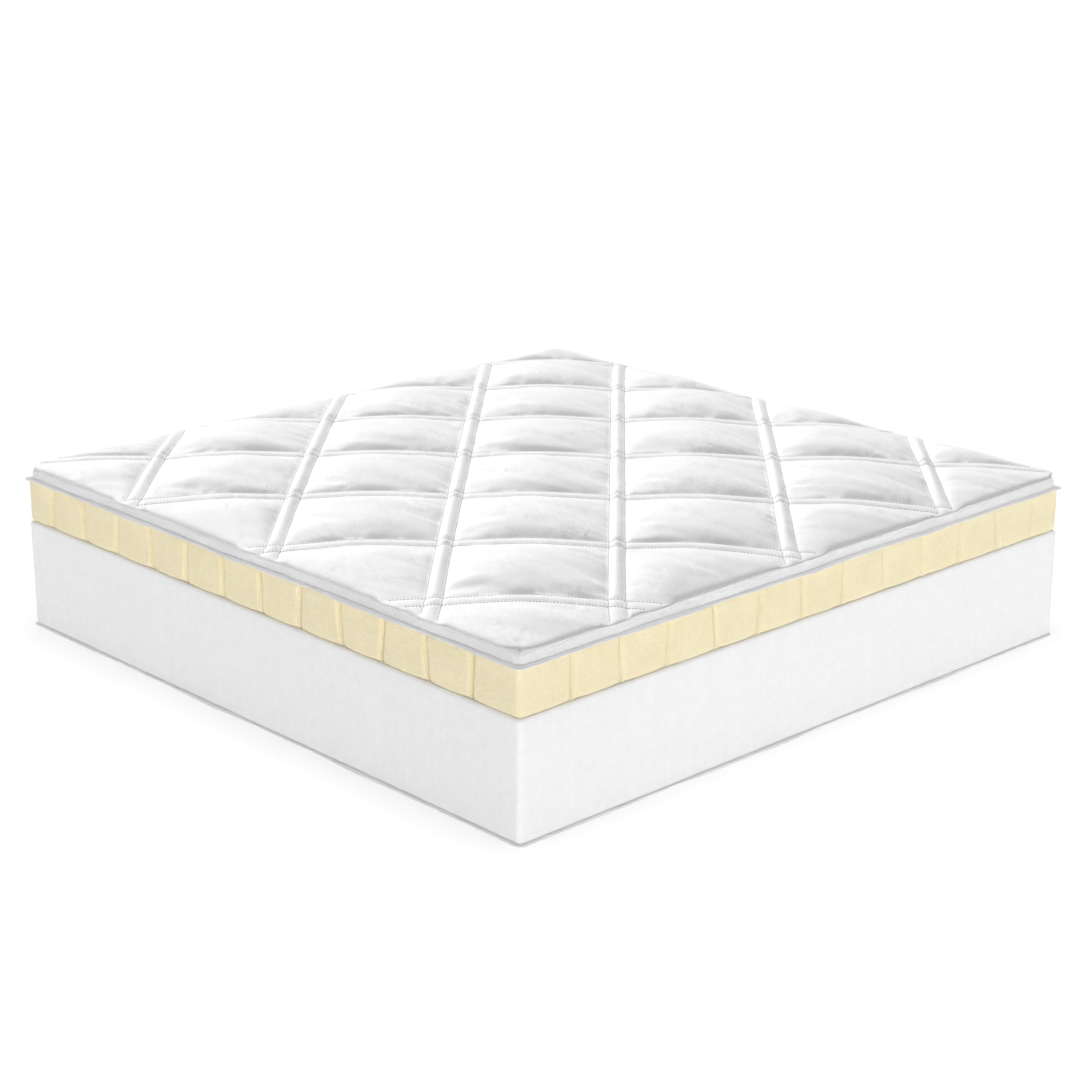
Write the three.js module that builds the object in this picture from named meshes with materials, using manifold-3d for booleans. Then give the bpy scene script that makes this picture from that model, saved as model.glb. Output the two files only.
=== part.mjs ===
// A square latex mattress with its six layers closed up, in millimetres, +Z up.
// The origin is on the floor under the middle, and the sides run along X and Y.
// The corner at +X -Y is the near one: the quilting and the pin holes are set out from it.
// From the floor up: base scrim, foam core, latex layer, backing scrim, fibre wadding, quilted cover.

import * as THREE from "three";
import { mergeVertices } from "three/addons/utils/BufferGeometryUtils.js";
import Module from "manifold-3d";

const wasm = await Module();
wasm.setup();

// Driving dimensions
const SIDE = 1000;
const LAYER_GAP = 0.3;
const FOAM = { side: SIDE, thickness: 150, edgeRadius: 5, cornerRadius: 8 };
const LATEX = { side: 998, thickness: 60, edgeRadius: 7, cornerRadius: 10 };
const WADDING = { side: 994, thickness: 15, edgeRadius: 6, cornerRadius: 14 };
const SCRIM = { side: 1005, thickness: 1, cornerRadius: 9 };

// Pins of the mould leave holes right through the latex, and a row of them is cut open at each side.
const PINS = { perRow: 12, pitch: 78, fromNearCorner: 82, radius: 5, facets: 6 };
const SIDE_CHANNEL = { radius: 4.2, centreOutside: 0.4, facets: 10 };
const CHANNEL_LEAN = { most: THREE.MathUtils.degToRad(4.5), turnPerRow: 2.7, turnPerSide: 1.9 };

// The quilting is two families of double stitch rows at 45 degrees to the sides, seen from the cover's
// middle: "across" runs from one side corner to the other, "depth" from the near corner to the far one.
const COVER = { side: 997, cornerRadius: 34 };
const ACROSS = { pitch: 210, lines: [-525, -315, -105, 105, 315, 525] };
const DEPTH = { pitch: 190, lines: [-550, -360, -170, 20, 210, 400, 590] };
const ROW_HALF_GAP = 10;
const QUILT = { seamHeight: 8, crown: 10, puff: 16, puffSteepness: 3, puffRoundness: 0.75 };
const RIB = { height: 4, crossingSink: 1.4 };
const EDGE_FALL = { reach: 50, least: 0.35 };
const RIM = { tuck: 3, foot: 3, round: 14, bow: 2, nipDepth: 4, nipWidth: 22 };

// How far the cut edges of the soft layers sway in and out, and over how many waves a side.
const SWAY = {
  baseScrim: { reach: 1.6, waves: 3, phase: 0.4 },
  backingScrim: { reach: 1.8, waves: 4, phase: 2.1 },
  wadding: { reach: 1.5, waves: 2.5, phase: 1.2 },
  cover: { reach: 1, waves: 1.5, phase: 0.7 },
};
const SWAY_TURN_PER_SIDE = 2;
const SWAY_OVERTONE = { share: 0.5, rate: 2.3 };

// How finely the shapes are meshed. The quilt's steps are distances from a line of quilting.
const CORNER_STEPS = 4;
const SWAY_STEPS = 18;
const RIM_SIDE_STEPS = 34;
const RIM_ROUND_STEPS = 4;
const QUILT_STEPS = [0, ROW_HALF_GAP, 16, 29, 54];

// Solids and geometries

function solidOf(geometry) {
  const bare = geometry.clone().deleteAttribute("normal").deleteAttribute("uv");
  const merged = mergeVertices(bare, 1e-4);
  return new wasm.Manifold(
    new wasm.Mesh({
      numProp: 3,
      vertProperties: merged.attributes.position.array,
      triVerts: new Uint32Array(merged.index.array),
    }),
  );
}

function geometryOf(solid) {
  const mesh = solid.getMesh();
  const geometry = new THREE.BufferGeometry();
  geometry.setAttribute("position", new THREE.BufferAttribute(new Float32Array(mesh.vertProperties), 3));
  geometry.setIndex(new THREE.BufferAttribute(new Uint32Array(mesh.triVerts), 1));
  geometry.computeVertexNormals();
  return geometry;
}

// Outlines and slabs

// A ring of points round a square with rounded corners, set in from its outline. Each side has the given
// steps, and its points move out by offsetAt, which gets the side's number, the share of the way along
// it and the point itself.
function squareRing({ side, cornerRadius }, inset, sideSteps, offsetAt = () => 0) {
  const straight = side / 2 - cornerRadius;
  const radius = cornerRadius - inset;
  const middle = new THREE.Vector2();
  const points = [];
  for (let turn = 0; turn < 4; turn++) {
    const spin = (turn * Math.PI) / 2;
    for (let i = 0; i <= sideSteps; i++) {
      const share = i / sideSteps;
      const point = new THREE.Vector2(straight + radius, straight * (2 * share - 1));
      const placed = point.clone().rotateAround(middle, spin);
      point.x += offsetAt(turn, share, placed);
      points.push(point.rotateAround(middle, spin));
    }
    for (let i = 1; i < CORNER_STEPS; i++) {
      const angle = (i / CORNER_STEPS) * (Math.PI / 2);
      const arc = new THREE.Vector2(Math.cos(angle), Math.sin(angle)).multiplyScalar(radius);
      points.push(arc.addScalar(straight).rotateAround(middle, spin));
    }
  }
  return points;
}

function swayOffset({ reach, waves, phase }, turn, share) {
  const taper = Math.sin(Math.PI * share);
  const angle = 2 * Math.PI * waves * share + phase + SWAY_TURN_PER_SIDE * turn;
  return reach * taper * (Math.sin(angle) + SWAY_OVERTONE.share * Math.sin(SWAY_OVERTONE.rate * angle));
}

// A closed body through rings of equally many points, each at its own height. A fan about the Z axis
// closes each end.
function loft(rings) {
  const count = rings[0].points.length;
  const position = rings.flatMap(({ points, z }) => points.flatMap(({ x, y }) => [x, y, z]));
  position.push(0, 0, rings[0].z, 0, 0, rings.at(-1).z);
  const bottomCentre = rings.length * count;
  const topCentre = bottomCentre + 1;
  const index = [];
  for (let i = 0; i < count; i++) {
    const next = (i + 1) % count;
    index.push(bottomCentre, next, i);
    for (let ring = 0; ring < rings.length - 1; ring++) {
      const [low, high] = [ring * count, (ring + 1) * count];
      index.push(low + i, low + next, high + next, low + i, high + next, high + i);
    }
    index.push(topCentre, bottomCentre - count + i, bottomCentre - count + next);
  }
  const geometry = new THREE.BufferGeometry();
  geometry.setAttribute("position", new THREE.Float32BufferAttribute(position, 3));
  geometry.setIndex(index);
  return geometry;
}

// A slab on z = 0. Where it has an edge radius, its top and bottom edges are rounded in the given steps.
function slab(layer, sideSteps, edgeSteps, offsetAt) {
  const { thickness, edgeRadius = 0 } = layer;
  const levels = [];
  for (let i = 0; i <= edgeSteps; i++) {
    const angle = (i / Math.max(edgeSteps, 1)) * (Math.PI / 2);
    const [inset, drop] = [1 - Math.sin(angle), Math.cos(angle)].map((share) => edgeRadius * share);
    levels.push({ inset, z: edgeRadius - drop });
  }
  const upper = levels.map(({ inset, z }) => ({ inset, z: thickness - z })).reverse();
  return loft(
    [...levels, ...upper].map(({ inset, z }) => ({
      points: squareRing(layer, inset, sideSteps, offsetAt),
      z,
    })),
  );
}

function swayedSlab(layer, edgeSteps, sway) {
  return slab(layer, SWAY_STEPS, edgeSteps, (turn, share) => swayOffset(sway, turn, share));
}

// Latex layer

function latexGeometry() {
  const half = LATEX.side / 2;
  const rows = Array.from({ length: PINS.perRow }, (_, i) => PINS.fromNearCorner + i * PINS.pitch);
  const cutters = [];
  for (const alongX of rows) {
    for (const alongY of rows) {
      const hole = new THREE.CylinderGeometry(PINS.radius, PINS.radius, 2 * LATEX.thickness, PINS.facets);
      hole.rotateX(Math.PI / 2);
      hole.translate(SIDE / 2 - alongX, alongY - SIDE / 2, LATEX.thickness / 2);
      cutters.push(solidOf(hole));
    }
  }
  for (let turn = 0; turn < 4; turn++) {
    rows.forEach((row, i) => {
      const { radius, centreOutside, facets } = SIDE_CHANNEL;
      const { most, turnPerRow, turnPerSide } = CHANNEL_LEAN;
      const channel = new THREE.CylinderGeometry(radius, radius, 2 * LATEX.thickness, facets);
      channel.rotateX(Math.PI / 2);
      channel.rotateX(most * Math.sin(turnPerRow * i + turnPerSide * turn));
      const fromMiddle = turn < 2 ? row - SIDE / 2 : SIDE / 2 - row;
      channel.translate(half + centreOutside, fromMiddle, LATEX.thickness / 2);
      channel.rotateZ((turn * Math.PI) / 2);
      cutters.push(solidOf(channel));
    });
  }
  return geometryOf(solidOf(slab(LATEX, 1, 3)).subtract(wasm.Manifold.union(cutters)));
}

// Quilted cover

function nearestLine(value, lines) {
  return Math.min(...lines.map((line) => Math.abs(value - line)));
}

// Rises steeply from a stitch row, then levels out towards the middle of a panel.
function puffShare(fromLine, pitch) {
  const share = THREE.MathUtils.clamp((fromLine - ROW_HALF_GAP) / (pitch / 2 - ROW_HALF_GAP), 0, 1);
  return (1 - (1 - share) ** QUILT.puffSteepness) ** QUILT.puffRoundness;
}

// The narrow rib of filling that stands up between the two rows of a line.
function ribShare(fromLine) {
  return Math.max(0, 1 - (fromLine / ROW_HALF_GAP) ** 2);
}

// Falls off towards one pair of the cover's sides, where the panels are drawn in.
function edgeShare(value) {
  const inward = THREE.MathUtils.clamp((COVER.side / 2 - Math.abs(value)) / EDGE_FALL.reach, 0, 1);
  return 1 - (1 - EDGE_FALL.least) * (1 - inward) ** 2;
}

function crownShare(value) {
  return Math.max(0, 1 - (2 * value / COVER.side) ** 2);
}

function quiltHeight(across, depth) {
  const [x, y] = [(across - depth) / Math.SQRT2, (across + depth) / Math.SQRT2];
  const fromAcross = nearestLine(across, ACROSS.lines);
  const fromDepth = nearestLine(depth, DEPTH.lines);
  const puff = puffShare(fromAcross, ACROSS.pitch) * puffShare(fromDepth, DEPTH.pitch);
  const [ribAcross, ribDepth] = [ribShare(fromAcross), ribShare(fromDepth)];
  const rib = ribAcross + ribDepth - RIB.crossingSink * ribAcross * ribDepth;
  const raised = (QUILT.puff * puff + RIB.height * rib) * edgeShare(x) * edgeShare(y);
  return QUILT.seamHeight + QUILT.crown * crownShare(x) * crownShare(y) + raised;
}

// Mesh lines close together at the stitch rows and wide apart on the panels.
function meshStops({ pitch, lines }) {
  const reach = COVER.side / Math.SQRT2 + 2 * ROW_HALF_GAP;
  const steps = [...QUILT_STEPS, pitch / 2];
  const stops = lines.flatMap((line) => steps.flatMap((step) => [line - step, line + step]));
  return [...new Set([-reach, ...stops, reach])].sort((a, b) => a - b);
}

// A block with the quilted face on top, reaching below z = 0.
function quiltedBlock() {
  const acrossStops = meshStops(ACROSS);
  const depthStops = meshStops(DEPTH);
  const columns = acrossStops.length - 1;
  const rows = depthStops.length - 1;
  const block = new THREE.BoxGeometry(1, 1, 1, columns, rows, 1);
  const position = block.attributes.position;
  for (let i = 0; i < position.count; i++) {
    const across = acrossStops[Math.round((position.getX(i) + 0.5) * columns)];
    const depth = depthStops[Math.round((position.getY(i) + 0.5) * rows)];
    const height = position.getZ(i) > 0 ? quiltHeight(across, depth) : -QUILT.seamHeight;
    position.setXYZ(i, across, depth, height);
  }
  return block.rotateZ(Math.PI / 4);
}

// The cover's outline, nipped in where a line of quilting runs off its edge. It rises in a quarter round
// from the rim's foot, and then straight up past the quilted face.
function coverEnvelope() {
  const nip = (value, { lines }) => Math.exp(-((nearestLine(value, lines) / RIM.nipWidth) ** 2));
  const offsetAt = (turn, share, { x, y }) => {
    const nipped = Math.max(nip((x + y) / Math.SQRT2, ACROSS), nip((y - x) / Math.SQRT2, DEPTH));
    return RIM.bow * Math.sin(Math.PI * share) + swayOffset(SWAY.cover, turn, share) - RIM.nipDepth * nipped;
  };
  const levels = [{ inset: RIM.tuck, z: 0 }];
  for (let i = 0; i <= RIM_ROUND_STEPS; i++) {
    const angle = (i / RIM_ROUND_STEPS) * (Math.PI / 2);
    levels.push({ inset: RIM.round * (1 - Math.cos(angle)), z: RIM.foot + RIM.round * Math.sin(angle) });
  }
  levels.push({ inset: RIM.round, z: 2 * (QUILT.seamHeight + QUILT.crown + QUILT.puff) });
  return loft(
    levels.map(({ inset, z }) => ({ points: squareRing(COVER, inset, RIM_SIDE_STEPS, offsetAt), z })),
  );
}

function coverGeometry() {
  return geometryOf(solidOf(quiltedBlock()).intersect(solidOf(coverEnvelope())));
}

// Finishes

function finish(color, roughness) {
  return new THREE.MeshStandardMaterial({ color, roughness, metalness: 0 });
}

const coverCotton = finish(0xfafafa, 0.8);
const waddingFibre = finish(0xececee, 0.95);
const scrimFibre = finish(0xf1eef0, 0.85);
const latexFoam = finish(0xf4e8be, 0.7);
const coreFoam = finish(0xe9e9ea, 0.9);

// The stack

const mattress = new THREE.Group();
let level = 0;

function lay(name, geometry, thickness, material) {
  const mesh = new THREE.Mesh(geometry, material);
  mesh.name = name;
  mesh.position.z = level;
  mattress.add(mesh);
  level += thickness + LAYER_GAP;
}

lay("base_scrim", swayedSlab(SCRIM, 0, SWAY.baseScrim), SCRIM.thickness, scrimFibre);
lay("foam_core", slab(FOAM, 1, 3), FOAM.thickness, coreFoam);
lay("latex_layer", latexGeometry(), LATEX.thickness, latexFoam);
lay("backing_scrim", swayedSlab(SCRIM, 0, SWAY.backingScrim), SCRIM.thickness, scrimFibre);
lay("fibre_wadding", swayedSlab(WADDING, 2, SWAY.wadding), WADDING.thickness, waddingFibre);
lay("quilted_cover", coverGeometry(), 0, coverCotton);

export default mattress;
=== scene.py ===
# %% [markdown]
# # A latex mattress, layer by layer
# The mattress is a closed stack of six soft layers, about 1 m square and 262 mm thick. From the floor up
# they are a base scrim, a foam core, a latex layer, a thin backing scrim, a fibre wadding and a quilted
# cotton cover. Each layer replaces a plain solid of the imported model, and lies in the same place.
# The model is loaded first, because the height of every layer is read from it.

import math
from collections import namedtuple

import bmesh
import bpy
from mathutils import Matrix, Vector, noise


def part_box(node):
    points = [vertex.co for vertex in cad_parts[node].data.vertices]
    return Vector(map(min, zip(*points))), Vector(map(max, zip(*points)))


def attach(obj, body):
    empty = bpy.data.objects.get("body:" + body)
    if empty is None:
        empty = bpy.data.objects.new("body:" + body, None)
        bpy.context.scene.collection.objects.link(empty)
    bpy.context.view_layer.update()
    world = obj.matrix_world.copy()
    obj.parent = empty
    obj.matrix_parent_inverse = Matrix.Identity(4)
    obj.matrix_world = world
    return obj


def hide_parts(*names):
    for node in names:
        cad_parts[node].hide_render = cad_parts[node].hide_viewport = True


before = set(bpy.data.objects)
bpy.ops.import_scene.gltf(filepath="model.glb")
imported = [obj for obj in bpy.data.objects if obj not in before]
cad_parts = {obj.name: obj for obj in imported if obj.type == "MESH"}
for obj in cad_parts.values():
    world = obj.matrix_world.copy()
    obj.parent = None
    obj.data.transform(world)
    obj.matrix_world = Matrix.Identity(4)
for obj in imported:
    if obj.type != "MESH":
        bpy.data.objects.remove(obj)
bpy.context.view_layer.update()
MM = 0.001
print("solids:", ", ".join(sorted(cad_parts)))

# %% [markdown]
# ## From a shape to a piece
# Shapes are made in a bmesh, the kind of mesh that is edited in code. A finished shape becomes an object at
# the origin, so that its place is in its mesh. It is shaded smooth, rides on the model's one body, and takes
# the place of its plain solid.

# %% Finish a piece
def finish_piece(name, shape, material, node=None):
    open_edges = sum(edge.is_boundary for edge in shape.edges)
    triangles = sum(len(face.verts) - 2 for face in shape.faces)
    mesh = bpy.data.meshes.new(name)
    shape.to_mesh(mesh)
    shape.free()
    mesh.shade_smooth()
    mesh.materials.append(material)
    piece = bpy.data.objects.new(name, mesh)
    bpy.context.scene.collection.objects.link(piece)
    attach(piece, "root")
    if node:
        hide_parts(node)
    heights = [vert.co.z / MM for vert in mesh.vertices]
    print(f"{name}: {triangles} triangles, {open_edges} open edges, {min(heights):.1f} to {max(heights):.1f} mm up")
    return piece


# %% [markdown]
# ## Colours and nodes
# A colour is picked as an sRGB hex value, as a paint program shows it, but a shader works in linear light.
# One function turns the first into the second. Another adds a node: its settings are given by name, and
# each input takes either a value or the output that feeds it. Every pattern reads Object coordinates, in
# metres, so its scale is worked out from a real size in millimetres.

# %% Helpers for materials
def linear(hex_colour):
    channels = [int(hex_colour[i:i + 2], 16) / 255 for i in (1, 3, 5)]
    return (*[c / 12.92 if c <= 0.04045 else ((c + 0.055) / 1.055) ** 2.4 for c in channels], 1)


def add_node(tree, kind, inputs=None, **settings):
    node = tree.nodes.new(kind)
    for name, value in settings.items():
        setattr(node, name, value)
    for socket, value in (inputs or {}).items():
        if isinstance(value, bpy.types.NodeSocket):
            tree.links.new(value, node.inputs[socket])
        else:
            node.inputs[socket].default_value = value
    return node


def new_material(name):
    material = bpy.data.materials.new(name)
    material.use_nodes = True
    tree = material.node_tree
    tree.nodes.clear()
    place = add_node(tree, "ShaderNodeTexCoord").outputs["Object"]
    return material, tree, place


def finish_material(tree, **sockets):
    shader = add_node(tree, "ShaderNodeBsdfPrincipled", sockets)
    add_node(tree, "ShaderNodeOutputMaterial", {"Surface": shader.outputs["BSDF"]})


def per_mm(size):
    """The scale of a pattern whose features are this many millimetres across."""
    return 1 / (size * MM)


# %% [markdown]
# ## Camera, floor and light
# The camera stands 2.45 m in front of the near corner and 1.16 m above the floor, as in the photo, and a
# long lens keeps the sides almost parallel. The floor is a pale sheet that runs out of view. The light is a
# white room and four soft lights. One from behind on the left draws the relief of the quilting, two low ones
# fill the near and the far sides, and one from straight above whitens the floor. The room is brighter to the
# camera than to the layers, so that the floor fades into it.

# %% Camera
SIDE = 1000 * MM
VIEW_AZIMUTH = math.radians(46.6)
NEAR_CORNER = Vector((SIDE / 2, -SIDE / 2, 0))
DISTANCE_TO_CORNER = 2451 * MM
CORNER_LEFT_OF_AXIS = 32 * MM
EYE_HEIGHT = 1160 * MM
AIM = Vector((0, 0, 130 * MM))

ahead = Vector((-math.sin(VIEW_AZIMUTH), math.cos(VIEW_AZIMUTH), 0))
rightward = Vector((math.cos(VIEW_AZIMUTH), math.sin(VIEW_AZIMUTH), 0))
eye = NEAR_CORNER - ahead * DISTANCE_TO_CORNER + rightward * CORNER_LEFT_OF_AXIS
eye.z = EYE_HEIGHT

camera = bpy.data.objects.new("camera", bpy.data.cameras.new("camera"))
camera.data.lens = 80.5
camera.location = eye
camera.rotation_euler = (AIM - eye).to_track_quat("-Z", "Y").to_euler()
bpy.context.scene.collection.objects.link(camera)
bpy.context.scene.camera = camera
print("camera at", [round(c, 3) for c in eye])

# %% Floor
FLOOR_REACH = 60
floor_shape = bmesh.new()
bmesh.ops.create_grid(floor_shape, x_segments=1, y_segments=1, size=FLOOR_REACH)
floor_mesh = bpy.data.meshes.new("floor")
floor_shape.to_mesh(floor_mesh)
floor_shape.free()
floor = bpy.data.objects.new("floor", floor_mesh)
bpy.context.scene.collection.objects.link(floor)
floor_paint, tree, _ = new_material("matt white floor")
finish_material(tree, **{"Base Color": linear("#F8F8F8"), "Roughness": 0.9, "Specular IOR Level": 0.2})
floor_mesh.materials.append(floor_paint)

# %% Light
def soft_sun(name, azimuth, elevation, strength, spread):
    light = bpy.data.lights.new(name, "SUN")
    light.energy = strength
    light.angle = math.radians(spread)
    lamp = bpy.data.objects.new(name, light)
    turn, rise = math.radians(azimuth), math.radians(elevation)
    towards = Vector((math.sin(turn) * math.cos(rise), -math.cos(turn) * math.cos(rise), math.sin(rise)))
    lamp.rotation_euler = (-towards).to_track_quat("-Z", "Y").to_euler()
    bpy.context.scene.collection.objects.link(lamp)
    return lamp


high_light = soft_sun("light from behind", azimuth=259, elevation=32, strength=3.15, spread=25)
low_light = soft_sun("low light from the front", azimuth=60, elevation=12, strength=0.97, spread=30)
back_light = soft_sun("low light from the back", azimuth=245, elevation=12, strength=0.6, spread=30)
floor_light = soft_sun("overhead light", azimuth=0, elevation=90, strength=1.8, spread=70)

room = bpy.data.worlds.new("white room")
room.use_nodes = True
room.node_tree.nodes.clear()
ROOM_LIGHT = 0.47
BACKDROP = 1
seen = add_node(room.node_tree, "ShaderNodeLightPath").outputs["Is Camera Ray"]
strength = add_node(room.node_tree, "ShaderNodeMapRange", {
    "Value": seen, "To Min": ROOM_LIGHT, "To Max": BACKDROP,
}).outputs[0]
glow = add_node(room.node_tree, "ShaderNodeBackground", {"Color": (1, 1, 1, 1), "Strength": strength})
add_node(room.node_tree, "ShaderNodeOutputWorld", {"Surface": glow.outputs[0]})
bpy.context.scene.world = room
bpy.context.scene.view_settings.view_transform = "Standard"

# %% [markdown]
# ## Layers drawn up ring by ring
# Every layer but the cover's face is a body with one outline, a square with round corners. A ring of points
# runs round it, and is extruded up through its levels, as a potter pulls up a wall. Each point knows which
# side it is on and how far along, so one short function per layer can make its channels, its soft edge or
# its frayed rim. That gives fine detail on the sides that show, and plain ends where the layers touch.

# %% Stations round an outline
Station = namedtuple("Station", "turn along place out")


def outline(side, corner_radius, stops, corner_steps):
    """Points round a square with round corners. Side 0 faces +X, and the next three follow to the left. The
    stops are mirrored on the last two, as the rows of pins are."""
    half = side / 2
    straight = half - corner_radius
    stations = []
    for turn in range(4):
        spin = Matrix.Rotation(turn * math.pi / 2, 3, "Z")
        for along in stops if turn < 2 else [-stop for stop in reversed(stops)]:
            stations.append(Station(turn, along, spin @ Vector((half, along, 0)), spin @ Vector((1, 0, 0))))
        for step in range(1, corner_steps):
            angle = step / corner_steps * math.pi / 2
            out = Vector((math.cos(angle), math.sin(angle), 0))
            place = Vector((straight, straight, 0)) + out * corner_radius
            stations.append(Station(turn, straight, spin @ place, spin @ out))
    return stations


def even_stops(side, corner_radius, pitch):
    straight = side / 2 - corner_radius
    steps = round(2 * straight / pitch)
    return [straight * (2 * step / steps - 1) for step in range(steps + 1)]


# %% Extrude a wall through its rings
def edges_between(parts, verts):
    return [part for part in parts if isinstance(part, bmesh.types.BMEdge) and verts.issuperset(part.verts)]


def drawn_up(stations, levels, place):
    """A wall through one ring of points for each level. place(station, level) says where a point lies."""
    wall = bmesh.new()
    number = wall.verts.layers.int.new("station")
    ring = bmesh.ops.create_circle(wall, segments=len(stations), radius=1)["verts"]
    for index, vert in enumerate(ring):
        vert[number] = index
    edges = wall.edges[:]
    for count, level in enumerate(levels):
        if count:
            grown = bmesh.ops.extrude_edge_only(wall, edges=edges)["geom"]
            ring = [part for part in grown if isinstance(part, bmesh.types.BMVert)]
            fresh = set(ring)
            edges = edges_between(grown, fresh)
        for vert in ring:
            vert.co = place(stations[vert[number]], level)
    return wall


def capped(wall):
    bmesh.ops.edgeloop_fill(wall, edges=[edge for edge in wall.edges if edge.is_boundary])
    bmesh.ops.recalc_face_normals(wall, faces=wall.faces)
    return wall


# %% The section of a slab
LEDGE = 25 * MM
UP = Vector((0, 0, 1))


def drawn_in(station, inset):
    """A place that far inside the outline. A ledge is drawn in towards the middle, clear of the corner's bend."""
    if inset >= LEDGE:
        return station.place * (1 - 2 * LEDGE / SIDE)
    return station.place - station.out * inset


def section_levels(edge_steps, side_steps):
    """Numbers for the levels of a slab: up to 1 round the lower edge, to 2 up the side, to 3 round the upper one.
    The first and the last are on the flat ends."""
    steps = [i / edge_steps for i in range(edge_steps)]
    side = [1 + i / side_steps for i in range(side_steps)]
    return [-1] + steps + side + [2 + step for step in steps] + [3, 4]


def section(level, thickness, radius):
    """How far in from the outline and how far up a level is."""
    if level < 0:
        return LEDGE, 0
    if level > 3:
        return LEDGE, thickness
    if 1 <= level <= 2:
        return 0, radius + (level - 1) * (thickness - 2 * radius)
    angle = (level if level < 1 else 3 - level) * math.pi / 2
    rise = radius * (1 - math.cos(angle))
    return radius * (1 - math.sin(angle)), rise if level < 1 else thickness - rise


# %% Uneven by hand and by knife
def unevenness(point, size, seed=0):
    """Smooth noise from -1 to 1, with features about that size."""
    return noise.noise(Vector((point.x, point.y, point.z)) / size + Vector((0, 0, 17.3 * seed)))


def sway(station, side, reach, waves, phase):
    """The slow waves of an edge that was cut by hand, as the plain solid has them."""
    share = min(max(station.along / side + 0.5, 0), 1)
    angle = 2 * math.pi * waves * share + phase + 2 * station.turn
    return reach * math.sin(math.pi * share) * (math.sin(angle) + 0.5 * math.sin(2.3 * angle))


# %% [markdown]
# ## Base scrim
# The lowest layer is a nonwoven scrim, a thin sheet of pressed polyester fibres that lets the foam slide in
# and keeps dust out. It was cut by hand a few millimetres past the foam, so its edge sways and frays. It
# lies flat under the foam, its free edge too.

# %% A nonwoven finish
def pressed_fibre(name, colour, streak_colour, streak_angle):
    """Long fine fibres that lie in a main direction, with thin and dense places in the sheet."""
    material, tree, place = new_material(name)
    turned = add_node(tree, "ShaderNodeMapping", {"Vector": place, "Rotation": (0, 0, streak_angle),
                                                  "Scale": (1, 0.08, 1)}).outputs[0]
    fibres = add_node(tree, "ShaderNodeTexNoise", {"Vector": turned, "Scale": per_mm(1.2), "Detail": 4,
                                                   "Roughness": 0.7, "Distortion": 0.6}).outputs["Fac"]
    clouds = add_node(tree, "ShaderNodeTexNoise", {"Vector": place, "Scale": per_mm(35),
                                                   "Detail": 2}).outputs["Fac"]
    blend = add_node(tree, "ShaderNodeMath", {0: fibres, 1: clouds}, operation="MULTIPLY").outputs[0]
    density = add_node(tree, "ShaderNodeMapRange", {"Value": blend, "From Min": 0.1, "From Max": 0.4}).outputs[0]
    paint = add_node(tree, "ShaderNodeMix", {"Factor": density, "A": linear(streak_colour),
                                             "B": linear(colour)}, data_type="RGBA")
    relief = add_node(tree, "ShaderNodeBump", {"Height": fibres, "Distance": 0.25 * MM, "Strength": 1})
    finish_material(tree, **{"Base Color": paint.outputs["Result"], "Roughness": 0.85,
                             "Normal": relief.outputs[0], "Sheen Weight": 0.15, "Sheen Roughness": 0.5})
    return material


# %% Base scrim
SCRIM_SIDE = 1005 * MM
SCRIM_CORNER = 9 * MM
SCRIM_THICKNESS = 1 * MM
SCRIM_FREE_EDGE = 8 * MM


def scrim_shape(low, waves, curl):
    """A thin sheet with a frayed edge that curls up, or hangs down where curl is negative."""
    stops = even_stops(SCRIM_SIDE, SCRIM_CORNER, 2.5 * MM)
    stations = outline(SCRIM_SIDE, SCRIM_CORNER, stops, 6)

    def place(station, level):
        inset, height = section(level, SCRIM_THICKNESS, 0.4 * MM)
        fray = 0.8 * MM * unevenness(station.place, 6 * MM, 1) + 0.5 * MM * unevenness(station.place, 2 * MM, 2)
        flat = inset >= LEDGE
        outward = -SCRIM_FREE_EDGE if flat else sway(station, SCRIM_SIDE, *waves) + fray - inset
        point = station.place + station.out * outward
        lift = 0 if flat else curl * (0.6 + 0.4 * unevenness(station.place, 30 * MM, 3))
        return point + UP * (low + height + lift)

    return capped(drawn_up(stations, section_levels(edge_steps=2, side_steps=1), place))


base_low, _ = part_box("base_scrim")
scrim_finish = pressed_fibre("pressed polyester fibre", "#FDFCFD", "#F2F0F2", 0.5)
base_sheet = finish_piece(
    "base_scrim_sheet",
    scrim_shape(base_low.z, (1.6 * MM, 3, 0.4), 0),
    scrim_finish, "base_scrim",
)

# %% [markdown]
# ## Foam core
# The core is a block of open-cell polyurethane foam, sliced from a bun by a running blade. Its faces are
# flat to about half a millimetre, and its edges are only just softened. The cells are too small to model,
# so they are left to the material: a fine grain of pores, and faint marks where the blade ran.

# %% Foam finish
core_foam, tree, place = new_material("open-cell polyurethane foam")
cells = add_node(tree, "ShaderNodeTexVoronoi", {"Vector": place, "Scale": per_mm(1.6)}).outputs["Distance"]
mottle = add_node(tree, "ShaderNodeTexNoise", {"Vector": place, "Scale": per_mm(9), "Detail": 5,
                                               "Roughness": 0.65}).outputs["Fac"]
upright = add_node(tree, "ShaderNodeMapping", {"Vector": place, "Scale": (1, 1, 0.03)}).outputs[0]
blade_marks = add_node(tree, "ShaderNodeTexNoise", {"Vector": upright, "Scale": per_mm(7),
                                                    "Detail": 3}).outputs["Fac"]
grain = add_node(tree, "ShaderNodeMath", {0: cells, 1: 0.5, 2: mottle}, operation="MULTIPLY_ADD")
surface = add_node(tree, "ShaderNodeMath", {0: blade_marks, 1: 0.4, 2: grain.outputs[0]}, operation="MULTIPLY_ADD")
shade = add_node(tree, "ShaderNodeMapRange", {"Value": surface.outputs[0], "From Min": 0.4, "From Max": 1.4})
paint = add_node(tree, "ShaderNodeMix", {"Factor": shade.outputs[0], "A": linear("#EEEEEF"),
                                         "B": linear("#F8F8F9")}, data_type="RGBA")
relief = add_node(tree, "ShaderNodeBump", {"Height": surface.outputs[0], "Distance": 0.5 * MM, "Strength": 1})
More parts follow.
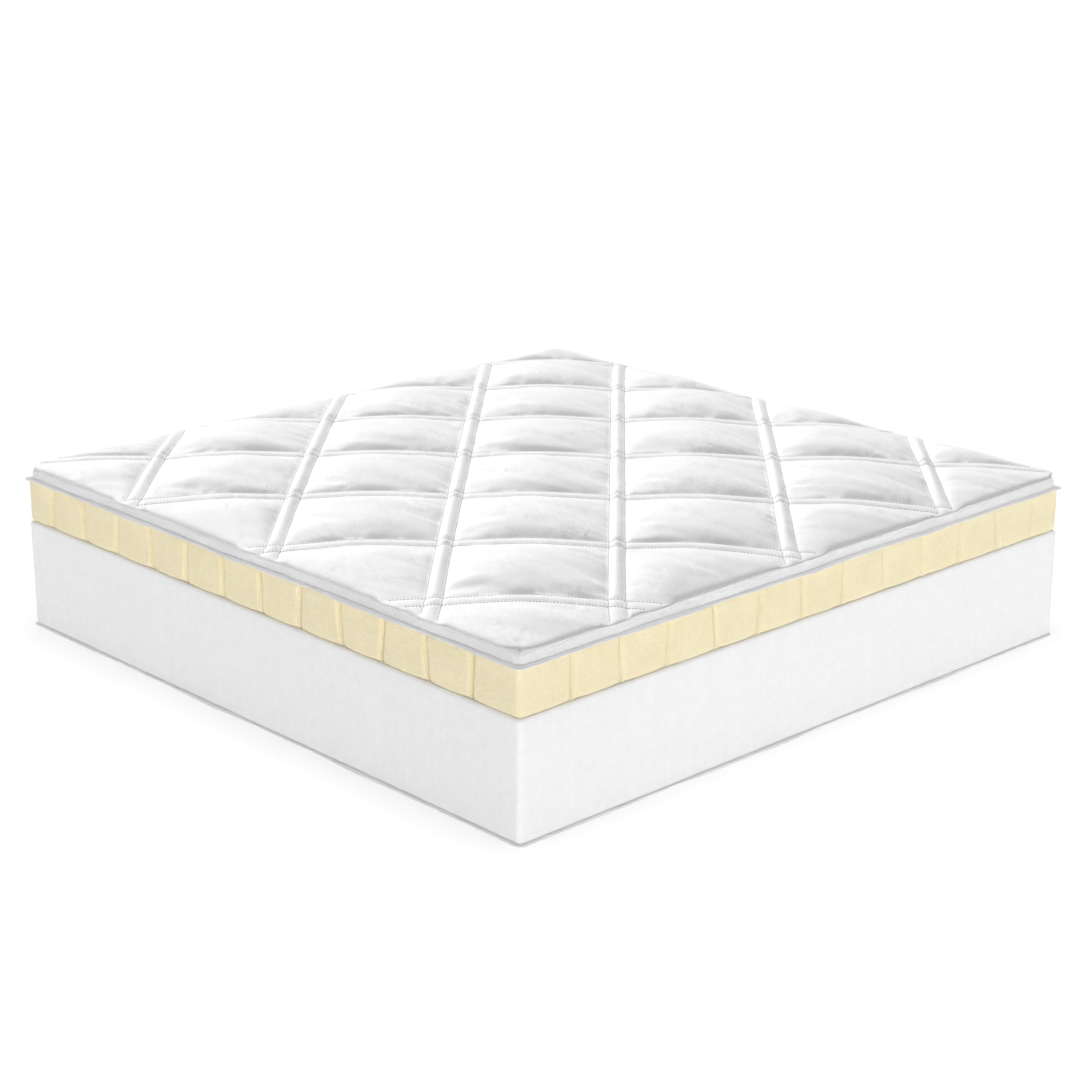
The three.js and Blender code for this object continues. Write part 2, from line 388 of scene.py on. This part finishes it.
finish_material(tree, **{"Base Color": paint.outputs["Result"], "Roughness": 0.95,
                         "Normal": relief.outputs[0], "Specular IOR Level": 0.2})

# %% Foam core
FOAM_SIDE = 1000 * MM
FOAM_CORNER = 8 * MM
foam_low, foam_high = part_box("foam_core")


def foam_point(station, level):
    inset, height = section(level, foam_high.z - foam_low.z, 4 * MM)
    point = drawn_in(station, inset) + UP * (foam_low.z + height)
    off_true = 0.5 * MM * (1 + unevenness(point, 180 * MM, 4)) + 0.2 * MM * unevenness(station.place, 14 * MM, 5)
    return point - station.out * max(off_true, 0)


foam_stations = outline(FOAM_SIDE, FOAM_CORNER, even_stops(FOAM_SIDE, FOAM_CORNER, 7 * MM), 6)
core_shape = capped(drawn_up(foam_stations, section_levels(edge_steps=5, side_steps=14), foam_point))
core = finish_piece("foam_block", core_shape, core_foam, "foam_core")

# %% [markdown]
# ## Latex layer
# Latex foam is whipped, poured over a bed of steel pins and cured, and each pin leaves a hole that lets
# the heat in. The sheet was then cut through a row of holes at each side, so half a hole shows there as
# a slot that leans a little, as the pins did. On the +X side the knife ran further out, and its slots are
# shallow. Between the slots the cut face bulges softly, and its upper edge is rounded. Points are set close
# together at the slots, and follow their lean up the side.

# %% Latex finish
latex_foam, tree, place = new_material("cream moulded latex foam")
froth = add_node(tree, "ShaderNodeTexVoronoi", {"Vector": place, "Scale": per_mm(2.2)}).outputs["Distance"]
grit = add_node(tree, "ShaderNodeTexNoise", {"Vector": place, "Scale": per_mm(5), "Detail": 6,
                                             "Roughness": 0.7}).outputs["Fac"]
patches = add_node(tree, "ShaderNodeTexNoise", {"Vector": place, "Scale": per_mm(38), "Detail": 3}).outputs["Fac"]
surface = add_node(tree, "ShaderNodeMath", {0: froth, 1: 0.5, 2: grit}, operation="MULTIPLY_ADD")
tone = add_node(tree, "ShaderNodeMath", {0: patches, 1: 0.7, 2: surface.outputs[0]}, operation="MULTIPLY_ADD")
shade = add_node(tree, "ShaderNodeMapRange", {"Value": tone.outputs[0], "From Min": 0.6, "From Max": 1.5})
paint = add_node(tree, "ShaderNodeMix", {"Factor": shade.outputs[0], "A": linear("#EDE0B8"),
                                         "B": linear("#F9EECC")}, data_type="RGBA")
relief = add_node(tree, "ShaderNodeBump", {"Height": surface.outputs[0], "Distance": 0.9 * MM, "Strength": 1})
finish_material(tree, **{"Base Color": paint.outputs["Result"], "Roughness": 0.75,
                         "Normal": relief.outputs[0], "Subsurface Weight": 0.12,
                         "Subsurface Radius": (0.006, 0.004, 0.002)})

# %% Slots in the cut sides
LATEX_SIDE = 998 * MM
LATEX_CORNER = 10 * MM
ROWS = [(82 + 78 * i) * MM for i in range(12)]
ROW_PITCH = 78 * MM
SLOT_RADIUS = 4.2 * MM
SLOT_CENTRE_OUTSIDE = 0.4 * MM
SLOT_LEAN = math.radians(6)
LIP = 1.2 * MM
LIP_WIDTH = 4 * MM
TEAR = 6 * MM
TEAR_HALF_WIDTH = 1.3 * MM
CUT_SHARES = (0.5, 1, 1, 1)
SLOT_STEPS = [0, 1.3, 2.4, 3.3, 3.9, 4.3, 5, 6, 7.2, 8.6, 11, 15, 21, 29, 39]
latex_low, latex_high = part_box("latex_layer")
latex_thickness = latex_high.z - latex_low.z


def slots(turn):
    """Where the slots of a side are, at half height, and how far each leans."""
    places = [row - SIDE / 2 if turn < 2 else SIDE / 2 - row for row in ROWS]
    return [(place, SLOT_LEAN * math.sin(2.7 * i + 1.9 * turn)) for i, place in enumerate(places)]


def slot_depth(distance):
    """Half of a round hole, with soft lips, and a tear at its bottom where the knife ran on."""
    lips = LIP * min(1, max(0, 1 - (distance - SLOT_RADIUS) / LIP_WIDTH) ** 2)
    if distance >= SLOT_RADIUS:
        return lips
    tear = TEAR * max(0, 1 - distance / TEAR_HALF_WIDTH)
    return max(math.sqrt(SLOT_RADIUS ** 2 - distance ** 2) - SLOT_CENTRE_OUTSIDE, 0) + tear + lips


def latex_stops():
    straight = LATEX_SIDE / 2 - LATEX_CORNER
    ends = [straight - step * MM for step in (0, 7, 14, 22)]
    stops = [end * sign for end in ends for sign in (1, -1)]
    for place, _ in slots(0):
        stops += [place + step * MM * sign for step in SLOT_STEPS for sign in (1, -1)]
    return sorted({round(stop, 5) for stop in stops if abs(stop) <= straight + 1e-6})


# %% Latex wall
SLOT_EDGE = 3
CUT_EDGE = 5.5
FULLER_AT_SLOTS = 3
BULGE = 1.0 * MM
KNIFE_WANDER = 0.35 * MM
LEAN_REACH = 24 * MM


def latex_point(station, level):
    place, lean = min(slots(station.turn), key=lambda slot: abs(slot[0] - station.along))
    distance = abs(station.along - place)
    nearness = max(0, 1 - distance / (ROW_PITCH / 2))
    radius = (SLOT_EDGE if distance < SLOT_RADIUS else CUT_EDGE + FULLER_AT_SLOTS * nearness ** 2) * MM
    inset, height = section(level, latex_thickness, radius)
    point = drawn_in(station, inset) + UP * (latex_low.z + height)
    if inset >= LEDGE:
        return point
    cut_in = CUT_SHARES[station.turn] * (slot_depth(distance) + BULGE * nearness ** 3)
    cut_in += KNIFE_WANDER * (1 + unevenness(point, 16 * MM, 6))
    follow = min(max(1.25 - distance / LEAN_REACH, 0), 1)
    aside = -math.tan(lean) * (height - latex_thickness / 2) * follow
    return point - station.out * cut_in + UP.cross(station.out) * aside


latex_stations = outline(LATEX_SIDE, LATEX_CORNER, latex_stops(), 7)
latex_shape = drawn_up(latex_stations, section_levels(edge_steps=5, side_steps=13), latex_point)
print("latex wall:", len(latex_stations), "points round it,", len(latex_shape.faces), "faces")

# %% Pin holes through it
# Radius and height in millimetres: the mouths of a hole are a little wider.
HOLE_SECTION = [(5.8, 0), (5.2, 0.5), (5, 1.6), (5, 58.4), (5.2, 59.5), (5.8, 60)]


def hole_point(station, level):
    radius, height = HOLE_SECTION[level]
    return station.out * radius * MM + UP * (latex_low.z + height * MM)


round_stations = outline(2 * MM, 1 * MM, [0], 3)
one_hole = bpy.data.meshes.new("pin hole")
hole_shape = drawn_up(round_stations, range(len(HOLE_SECTION)), hole_point)
hole_shape.to_mesh(one_hole)
hole_shape.free()
for from_corner_x in ROWS:
    for from_corner_y in ROWS:
        before = len(latex_shape.verts)
        latex_shape.from_mesh(one_hole)
        centre = Vector((SIDE / 2 - from_corner_x, from_corner_y - SIDE / 2, 0))
        bmesh.ops.translate(latex_shape, verts=latex_shape.verts[before:], vec=centre)
bpy.data.meshes.remove(one_hole)
print("pin holes:", len(ROWS) ** 2)

# %% Skins of the latex
for height, facing in ((latex_low.z, -1), (latex_high.z, 1)):
    open_edges = [e for e in latex_shape.edges if e.is_boundary and abs(e.verts[0].co.z - height) < 0.1 * MM]
    bmesh.ops.triangle_fill(latex_shape, use_beauty=True, edges=open_edges, normal=(0, 0, facing))
bmesh.ops.recalc_face_normals(latex_shape, faces=latex_shape.faces)
latex = finish_piece("latex_sheet", latex_shape, latex_foam, "latex_layer")

# %% [markdown]
# ## Backing scrim
# A second scrim backs the soft wadding, so that the wadding doesn't cling to the latex when the cover is
# pulled on. It is cut past the latex too, and its free edge hangs down over the latex's rounded edge.

# %% Backing scrim
backing_low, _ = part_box("backing_scrim")
backing_finish = pressed_fibre("thin backing fibre", "#FEFDFD", "#F7F5F5", -0.9)
backing_sheet = finish_piece(
    "backing_scrim_sheet",
    scrim_shape(backing_low.z, (1.8 * MM, 4, 2.1), -1.2 * MM),
    backing_finish, "backing_scrim",
)

# %% [markdown]
# ## Fibre wadding
# The wadding is a batt of crimped polyester fibre, which gives the cover a soft hand. Shears pinch its
# edge as they cut, so its upper edge is round, and it is thinner in places and hairy. The hairs are left to
# the material.

# %% Wadding finish
wadding_fibre, tree, place = new_material("crimped polyester wadding")
lofty = add_node(tree, "ShaderNodeTexNoise", {"Vector": place, "Scale": per_mm(8), "Detail": 6, "Roughness": 0.7,
                                              "Distortion": 1.5}).outputs["Fac"]
flat_lying = add_node(tree, "ShaderNodeMapping", {"Vector": place, "Scale": (0.25, 0.25, 1.5)}).outputs[0]
hairs = add_node(tree, "ShaderNodeTexNoise", {"Vector": flat_lying, "Scale": per_mm(1.2), "Detail": 3,
                                              "Distortion": 1}).outputs["Fac"]
surface = add_node(tree, "ShaderNodeMath", {0: hairs, 1: 0.4, 2: lofty}, operation="MULTIPLY_ADD")
shade = add_node(tree, "ShaderNodeMapRange", {"Value": surface.outputs[0], "From Min": 0.45, "From Max": 1.0})
paint = add_node(tree, "ShaderNodeMix", {"Factor": shade.outputs[0], "A": linear("#EBEBEC"),
                                         "B": linear("#F7F7F8")}, data_type="RGBA")
relief = add_node(tree, "ShaderNodeBump", {"Height": surface.outputs[0], "Distance": 1.2 * MM, "Strength": 1})
finish_material(tree, **{"Base Color": paint.outputs["Result"], "Roughness": 1, "Normal": relief.outputs[0],
                         "Sheen Weight": 0.3, "Sheen Roughness": 0.6})

# %% Wadding
WADDING_SIDE = 994 * MM
WADDING_CORNER = 14 * MM
LOWER_EDGE, UPPER_EDGE = 2, 7
wadding_low, wadding_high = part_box("fibre_wadding")


def wadding_point(station, level):
    radius = (LOWER_EDGE if level < 1.5 else UPPER_EDGE) * MM
    inset, height = section(level, wadding_high.z - wadding_low.z, radius)
    point = drawn_in(station, inset) + UP * (wadding_low.z + height)
    if inset >= LEDGE:
        return point
    pinched = 0.9 * MM * (1 + unevenness(point, 45 * MM, 7)) + 0.5 * MM * unevenness(point, 9 * MM, 8)
    return point + station.out * (sway(station, WADDING_SIDE, 1.5 * MM, 2.5, 1.2) - pinched)


wadding_stations = outline(WADDING_SIDE, WADDING_CORNER, even_stops(WADDING_SIDE, WADDING_CORNER, 5 * MM), 8)
wadding = finish_piece(
    "wadding_batt",
    capped(drawn_up(wadding_stations, section_levels(edge_steps=5, side_steps=3), wadding_point)),
    wadding_fibre, "fibre_wadding",
)

# %% [markdown]
# ## Quilted cover
# The cover is white cotton over a thin filling, sewn through in diamonds by double rows of stitches. Its
# face could be a smooth height map, but real quilting is never smooth. So it is made by sewing it. A sheet
# is cut a little too large, then a shape key pulls the rows of stitches to their places, while the cloth
# simulation blows up the panels between them. The spare cloth gathers in soft slanting creases. A maker
# sets out quilting in millimetres, so the cover's numbers are in millimetres too.

# %% Quilting lines
ACROSS_LINES = [-525, -315, -105, 105, 315, 525]
DEPTH_LINES = [-550, -360, -170, 20, 210, 400, 590]
ACROSS_PITCH = 210
DEPTH_PITCH = 190
ROW_HALF_GAP = 10
COVER_SIDE = 997
COVER_CORNER = 34
cover_low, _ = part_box("quilted_cover")
SEAM_HEIGHT = 2.6
CROWN = 14
ARCH = 3.5
PUFF = 8.7
NEAR_FAR_RIB = 4.8
SIDE_TO_SIDE_RIB = 1.5


def from_line(value, lines):
    return min(abs(value - line) for line in lines)


def squared(across, depth):
    """From the quilting's own directions, near to far and left to right, to the sides of the mattress."""
    return (across - depth) / math.sqrt(2), (across + depth) / math.sqrt(2)


# %% Height of the quilting
NEAR_FADE, FAR_FADE = 110, 45
RIM_THINNING = 0.88
RIDGE_ROUND = 2
PRESSED_SHARE, PRESSED_REACH = 0.5, 5


def puff_share(distance, pitch):
    """How full a panel is so far from a line of quilting: steep beside the stitches, and flat in the middle."""
    share = min(max((distance - ROW_HALF_GAP) / (pitch / 2 - ROW_HALF_GAP), 0), 1)
    return (1 - (1 - share) ** 5) ** 0.75


def edge_share(nearward):
    """How full the quilting is: thin along the two near sides, and fuller up to the two far ones."""
    fade = NEAR_FADE if nearward > 0 else FAR_FADE
    inward = min(max((COVER_SIDE / 2 - abs(nearward)) / fade, 0), 1)
    return 1 - RIM_THINNING * (1 - inward) ** 1.5


def sewn_height(across, depth):
    """The rows of stitches lie on this soft crown. It thins out to the rim, and arches up between the ribs."""
    x, y = squared(across, depth)
    crown = [max(0, 1 - (2 * value / COVER_SIDE) ** 4) for value in (x, y)]
    arch = math.sin(math.pi * from_line(across, ACROSS_LINES) / ACROSS_PITCH) ** 2
    return SEAM_HEIGHT + CROWN * crown[0] * crown[1] + ARCH * arch * edge_share(x) * edge_share(-y)


def quilt_height(across, depth):
    """The stitched height, with the puff of a panel or the rib between two rows. A rib that runs near to far is
    as taut as a tent, and is pressed down where a row crosses it."""
    x, y = squared(across, depth)
    from_across, from_depth = from_line(across, ACROSS_LINES), from_line(depth, DEPTH_LINES)
    puff = puff_share(from_across, ACROSS_PITCH) * puff_share(from_depth, DEPTH_PITCH)
    taut = max(0, 1 - (math.hypot(from_across, RIDGE_ROUND) - RIDGE_ROUND)
               / (math.hypot(ROW_HALF_GAP, RIDGE_ROUND) - RIDGE_ROUND))
    slack = max(0, 1 - (from_depth / ROW_HALF_GAP) ** 2)
    pressed = 1 - PRESSED_SHARE * math.exp(-(((from_depth - ROW_HALF_GAP) / PRESSED_REACH) ** 2))
    rib = max(NEAR_FAR_RIB * taut * pressed, SIDE_TO_SIDE_RIB * slack)
    return sewn_height(across, depth) + (PUFF * puff + rib) * edge_share(x) * edge_share(-y)


# %% Face before it is sewn
CELL = 5
REACH = 720
HALF_DIAGONAL = 705
TOUCHING = 0.5

quilt = bmesh.new()
bmesh.ops.create_grid(quilt, x_segments=2 * REACH // CELL, y_segments=2 * REACH // CELL, size=REACH * MM)
for slant in ((1, 1), (1, -1), (-1, 1), (-1, -1)):
    normal = Vector((*slant, 0)).normalized()
    bmesh.ops.bisect_plane(
        quilt, geom=quilt.verts[:] + quilt.edges[:] + quilt.faces[:], dist=1e-6,
        plane_co=normal * HALF_DIAGONAL * MM / math.sqrt(2), plane_no=normal, clear_outer=True,
    )
held = []
for vert in quilt.verts:
    across, depth = vert.co.x / MM, vert.co.y / MM
    nearest = min(from_line(across, ACROSS_LINES), from_line(depth, DEPTH_LINES))
    if nearest < ROW_HALF_GAP + TOUCHING or abs(across) + abs(depth) > HALF_DIAGONAL - TOUCHING:
        held.append(vert.index)
    vert.co.z = quilt_height(across, depth) * MM
fabric = bpy.data.meshes.new("fabric")
quilt.to_mesh(fabric)
quilt.free()
print("quilt face:", len(fabric.polygons), "faces,", len(held), "points held by stitches")

# %% Cut it too large
# The slant turns the spare cloth aside, and the stray makes each panel's creases its own.
SLACK_ACROSS = 1.003
SLACK_DEPTH = 1.008
SLANT = 0.02
STRAY = 1.2 * MM

sheet = bpy.data.objects.new("fabric", fabric)
bpy.context.scene.collection.objects.link(sheet)
sewn_places = [vert.co.copy() for vert in fabric.vertices]
for vert in fabric.vertices:
    x, y, z = vert.co
    stray_x, stray_y = (STRAY * unevenness(Vector((x, y, 0)), 60 * MM, seed) for seed in (9, 10))
    vert.co = Vector((x * SLACK_ACROSS + y * SLANT + stray_x, y * SLACK_DEPTH + stray_y, z))
sheet.shape_key_add(name="cut")
sewn = sheet.shape_key_add(name="sewn")
for point, place in zip(sewn.data, sewn_places):
    point.co = place
SEWN_BY = 6
for frame_number, share in ((1, 0), (SEWN_BY, 1)):
    sewn.value = share
    sewn.keyframe_insert("value", frame=frame_number)
sheet.vertex_groups.new(name="stitches").add(held, 1, "REPLACE")

# %% Sew it and blow it up
LAST_STEP = 16


def sewn_cloth(sheet):
    cloth = sheet.modifiers.new("cloth", "CLOTH")
    settings = cloth.settings
    settings.quality = 5
    settings.mass = 0.1
    settings.tension_stiffness = 15
    settings.compression_stiffness = 15
    settings.shear_stiffness = 5
    settings.bending_stiffness = 0.15
    settings.air_damping = 2
    settings.shrink_min = -0.010
    settings.use_pressure = True
    settings.uniform_pressure_force = 5
    settings.vertex_group_mass = "stitches"
    settings.effector_weights.gravity = 0
    cloth.collision_settings.use_collision = False
    cloth.point_cache.frame_end = LAST_STEP
    for step in range(1, LAST_STEP + 1):
        bpy.context.scene.frame_set(step)
    blown_up = sheet.evaluated_get(bpy.context.evaluated_depsgraph_get())
    return [vert.co.copy() for vert in blown_up.data.vertices]


places = sewn_cloth(sheet)
face = bmesh.new()
face.from_mesh(fabric)
for vert, place in zip(face.verts, places):
    vert.co = place
bpy.data.objects.remove(sheet)
bpy.context.scene.frame_set(1)


# %% Finer along the rows
PULLS = (1.2, 0.6)
PULL_BETWEEN_ROWS, PULL_BESIDE_THEM = 2.5, 5
LEAN_SHARE, LEAN_BEFORE_ROW = 0.5, 30
NO_ROW_BEYOND = 99
PINCHED_AT_RIM = 80
KEPT_AT_RIM, KEPT_INSIDE = 0.3, 0.6


def to_row(point):
    return min(from_line(point.x / MM, ACROSS_LINES), from_line(point.y / MM, DEPTH_LINES))


def pulled_down(across, depth):
    """How far the tight thread draws the cloth down: most at a row, and less beside it."""
    pulls = []
    for distance, most in zip((from_line(across, ACROSS_LINES), from_line(depth, DEPTH_LINES)), PULLS):
        reach = PULL_BETWEEN_ROWS if distance < ROW_HALF_GAP else PULL_BESIDE_THEM
        pulls.append(most * math.exp(-(((distance - ROW_HALF_GAP) / reach) ** 2)))
    return max(pulls)


def settled(across, depth, height):
    """The foot of the sewing machine pushes the filling ahead of it, so each panel is leaner at its far end. Near
    the rim the filling is pinched too. The filling is firmer than air, so less of the swelling is kept."""
    sewn_at = sewn_height(across, depth)
    rows_beyond = [line - ROW_HALF_GAP - depth for line in DEPTH_LINES if line - ROW_HALF_GAP > depth]
    beyond = min(rows_beyond or [NO_ROW_BEYOND])
    lean = 1 - LEAN_SHARE * math.exp(-((beyond / LEAN_BEFORE_ROW) ** 2))
    from_rim = COVER_SIDE / 2 - max(abs(value) for value in squared(across, depth))
    free_share = min(max(from_rim / PINCHED_AT_RIM, 0), 1)
    planned = quilt_height(across, depth)
    kept = KEPT_AT_RIM + KEPT_INSIDE * free_share
    return sewn_at + lean * (planned + (height - planned) * kept - sewn_at)


free = [vert for vert in face.verts if to_row(vert.co) > ROW_HALF_GAP + TOUCHING and not vert.is_boundary]
for _ in range(2):
    bmesh.ops.smooth_vert(face, verts=free, factor=0.5, use_axis_x=True, use_axis_y=True, use_axis_z=True)
first_cell = ROW_HALF_GAP + CELL + TOUCHING
near_rows = [edge for edge in face.edges if all(to_row(vert.co) < first_cell for vert in edge.verts)]
bmesh.ops.subdivide_edges(face, edges=near_rows, cuts=1, use_grid_fill=True)
for vert in face.verts:
    across, depth = vert.co.x / MM, vert.co.y / MM
    if to_row(vert.co) < ROW_HALF_GAP + 0.1:
        height = quilt_height(across, depth)
    else:
        height = settled(across, depth, vert.co.z / MM)
    vert.co.z = (height - pulled_down(across, depth)) * MM
print(f"blown up to {max(vert.co.z for vert in face.verts) / MM:.1f} mm")

# %% [markdown]
# ### The rim of the cover
# At the rim the face is turned down and closed with a hidden seam, which makes a thin round edge. Each line
# of quilting that runs off the edge nips it in. The corners are round. So the outer 60 mm of the face is
# moved out or in along the sides, rounded off, and then extruded down to the flat back.

# %% Shape the rim
half_cover = COVER_SIDE / 2
NIP, NIP_REACH = 7, 20
BOW, BOW_SWAY = 2, 0.5
ROLL = 7
SEAM_EDGE = 1.4
RIM_REACH = 60


def nip(across, depth):
    nearest = min(from_line(across, ACROSS_LINES), from_line(depth, DEPTH_LINES))
    return NIP * math.exp(-((nearest / NIP_REACH) ** 2))


def side_offset(along, turn, nipped):
    """How far a side stands out at a place along it."""
    share = min(max(along / COVER_SIDE + 0.5, 0), 1)
    angle = 3 * math.pi * share + 0.7 + 2 * turn
    bow = math.sin(math.pi * share)
    return bow * (BOW + math.sin(angle) + BOW_SWAY * math.sin(2.3 * angle)) - nipped


def rounded_off(height, inset):
    """The height after the rim seam has turned the face down."""
    share = min(max(inset / ROLL, 0), 1)
    return SEAM_EDGE + (height - SEAM_EDGE) * math.sqrt(1 - (1 - share) ** 2)


def to_rim(across, depth, height):
    """A point of the face in its place over the mattress. Its square corners are drawn in to round ones, and the
    outer part follows the rim."""
    x, y = squared(across, depth)
    nipped = nip(across, depth)
    core = half_cover - COVER_CORNER
    over_x, over_y = max(abs(x) - core, 0), max(abs(y) - core, 0)
    if over_x > 0 and over_y > 0:
        pulled = max(over_x, over_y) / math.hypot(over_x, over_y)
        x, y = (math.copysign(core + over * pulled, value) for over, value in ((over_x, x), (over_y, y)))
    inset = half_cover - max(abs(x), abs(y)) if not (over_x and over_y) else COVER_CORNER - max(over_x, over_y)
    turns = (0 if x > 0 else 2, 1 if y > 0 else 3)
    along = (y if x > 0 else -y, -x if y > 0 else x)
    moved = []
    for value, turn, place in ((x, turns[0], along[0]), (y, turns[1], along[1])):
        near_rim = max(0, 1 - (half_cover - abs(value)) / RIM_REACH) ** 2
        moved.append(value + math.copysign(near_rim * side_offset(place, turn, nipped), value))
    return Vector((*moved, rounded_off(height, inset))) * MM


for vert in face.verts:
    vert.co = to_rim(vert.co.x / MM, vert.co.y / MM, vert.co.z / MM) + UP * cover_low.z

# %% Close the back
TURNED_UNDER = ((0.2, 0.9), (1.2, 0.2), (3, 0), (30, 0))


def way_out(point):
    core = (half_cover - COVER_CORNER) * MM
    over = Vector([math.copysign(max(abs(value) - core, 0), value) for value in point[:2]] + [0])
    return over.normalized()


open_edges = [edge for edge in face.edges if edge.is_boundary]
for inset, height in TURNED_UNDER:
    grown = bmesh.ops.extrude_edge_only(face, edges=open_edges)["geom"]
    fresh = {part for part in grown if isinstance(part, bmesh.types.BMVert)}
    open_edges = edges_between(grown, fresh)
    for vert in fresh:
        vert.co -= way_out(vert.co) * inset * MM
        vert.co.z = cover_low.z + height * MM
bmesh.ops.edgeloop_fill(face, edges=open_edges)
bmesh.ops.recalc_face_normals(face, faces=face.faces)

# %% [markdown]
# ### Percale
# Percale is a plain weave of fine combed cotton, two or three threads to a millimetre, with a soft dull
# sheen. Two waves at right angles make the weave. A soft noise that is drawn out to one side makes the small
# folds that the simulated cloth is too coarse for, and a broad one keeps them to patches, where the cloth is
# drawn tight.

# %% Percale finish
percale, tree, place = new_material("white cotton percale")
threads = []
for direction in ("X", "Y"):
    thread = add_node(tree, "ShaderNodeTexWave", {"Vector": place, "Scale": per_mm(0.42) / 20, "Distortion": 1.2,
                                                  "Detail": 1}, bands_direction=direction)
    threads.append(thread.outputs["Fac"])
weave = add_node(tree, "ShaderNodeMath", {0: threads[0], 1: threads[1]}, operation="MAXIMUM").outputs[0]
turned = add_node(tree, "ShaderNodeMapping", {"Vector": place, "Rotation": (0, 0, math.radians(14))}).outputs[0]
drawn = add_node(tree, "ShaderNodeMapping", {"Vector": turned, "Scale": (0.3, 1, 1)}).outputs[0]
creases = add_node(tree, "ShaderNodeTexNoise", {"Vector": drawn, "Scale": per_mm(14), "Detail": 2,
                                                "Roughness": 0.45, "Distortion": 0.6}).outputs["Fac"]
patches = add_node(tree, "ShaderNodeTexNoise", {"Vector": place, "Scale": per_mm(85), "Detail": 1}).outputs["Fac"]
drawn_tight = add_node(tree, "ShaderNodeMapRange", {"Value": patches, "From Min": 0.4, "From Max": 0.62,
                                                    "To Min": 0.15, "To Max": 1}).outputs[0]
folds = add_node(tree, "ShaderNodeMath", {0: creases, 1: drawn_tight}, operation="MULTIPLY").outputs[0]
slubs = add_node(tree, "ShaderNodeTexNoise", {"Vector": place, "Scale": per_mm(3), "Detail": 3}).outputs["Fac"]
shade = add_node(tree, "ShaderNodeMapRange", {"Value": slubs, "From Min": 0.3, "From Max": 0.7})
paint = add_node(tree, "ShaderNodeMix", {"Factor": shade.outputs[0], "A": linear("#EFEFF1"),
                                         "B": linear("#F7F7F8")}, data_type="RGBA")
soft = add_node(tree, "ShaderNodeBump", {"Height": folds, "Distance": 2.7 * MM, "Strength": 1}).outputs[0]
fine = add_node(tree, "ShaderNodeBump", {"Height": weave, "Distance": 0.06 * MM, "Strength": 0.6,
                                         "Normal": soft}).outputs[0]
finish_material(tree, **{"Base Color": paint.outputs["Result"], "Roughness": 0.75, "Normal": fine,
                         "Sheen Weight": 0.2, "Sheen Roughness": 0.4, "Specular IOR Level": 0.3})
cover = finish_piece("cotton_quilt", face, percale, "quilted_cover")

# %% [markdown]
# ### Stitches
# Each line of quilting is two rows of lockstitch, 20 mm apart, with a stitch every 4 mm. A stitch is a short
# thread that dives into the cloth at both ends, so a small ball stretched along the row stands for it. The
# thread is drawn a little thicker than a real one, which would be too fine to show. There are thousands of
# stitches, so each has only twelve faces.

# %% Stitches along each row
STITCH_PITCH = 4
STITCH_LENGTH = 3.1
THREAD = 1.1
RAISED = 0.4
ROW_END = 9


def row_point(fixed, moving, along_depth):
    across, depth = (fixed, moving) if along_depth else (moving, fixed)
    return to_rim(across, depth, quilt_height(across, depth) - pulled_down(across, depth)) + UP * cover_low.z


def sew_row(fixed, along_depth):
    """One row of stitches, at a fixed place across its direction. It is a small mesh of its own, because adding
    to a large one is slow."""
    row = bmesh.new()
    reach = HALF_DIAGONAL - abs(fixed) - ROW_END
    count = int(2 * reach / STITCH_PITCH)
    for number in range(count):
        middle = (number + 0.5 - count / 2) * STITCH_PITCH
        ends = [row_point(fixed, middle + side * STITCH_LENGTH / 2, along_depth) for side in (-1, 1)]
        run = ends[1] - ends[0]
        place = Matrix.Translation((ends[0] + ends[1]) / 2 + UP * RAISED * MM)
        turn = run.to_track_quat("Z", "Y").to_matrix().to_4x4()
        size = Matrix.Diagonal((THREAD / 2 * MM, THREAD / 2 * MM, run.length / 2, 1))
        bmesh.ops.create_uvsphere(row, u_segments=4, v_segments=3, radius=1, matrix=place @ turn @ size)
    return row


FACES_OF_ONE = 12
stitches = bmesh.new()
for lines, along_depth in ((ACROSS_LINES, True), (DEPTH_LINES, False)):
    for line in lines:
        for side in (-1, 1):
            row = sew_row(line + side * ROW_HALF_GAP, along_depth)
            sewn_row = bpy.data.meshes.new("row")
            row.to_mesh(sewn_row)
            row.free()
            stitches.from_mesh(sewn_row)
            bpy.data.meshes.remove(sewn_row)
print("stitches:", len(stitches.faces) // FACES_OF_ONE)

# %% Thread finish
thread_cotton, tree, place = new_material("polyester sewing thread")
twist = add_node(tree, "ShaderNodeTexWave", {"Vector": place, "Scale": per_mm(0.5) / 20, "Distortion": 0.5},
                 bands_direction="DIAGONAL").outputs["Fac"]
relief = add_node(tree, "ShaderNodeBump", {"Height": twist, "Distance": 0.1 * MM, "Strength": 0.5})
# The thread is painted light grey, darker than the cloth. This grey is painted shade: it stands in for the shadow
# in the stitch holes, so the rows show as dotted lines.
finish_material(tree, **{"Base Color": linear("#D6D6DA"), "Roughness": 0.5, "Normal": relief.outputs[0]})
thread = finish_piece("quilting_stitches", stitches, thread_cotton)

# %% [markdown]
# ## Flags for the lights
# Each light has one task. On the quilting the low lights would wipe out the relief, and on the floor the
# high one would throw a long shadow, so a photographer would hold black flags between them. Here each
# light is told which pieces it may fall on.

# %% Flag the lights
sides = (base_sheet, core, latex, backing_sheet, wadding)
for light, lit in (
    (high_light, (cover, thread)), (low_light, (*sides, floor)), (back_light, sides), (floor_light, (floor,)),
):
    receivers = bpy.data.collections.new("lit by the " + light.name)
    for piece in lit:
        receivers.objects.link(piece)
    light.light_linking.receiver_collection = receivers
    print(light.name, "falls on", ", ".join(piece.name for piece in lit))
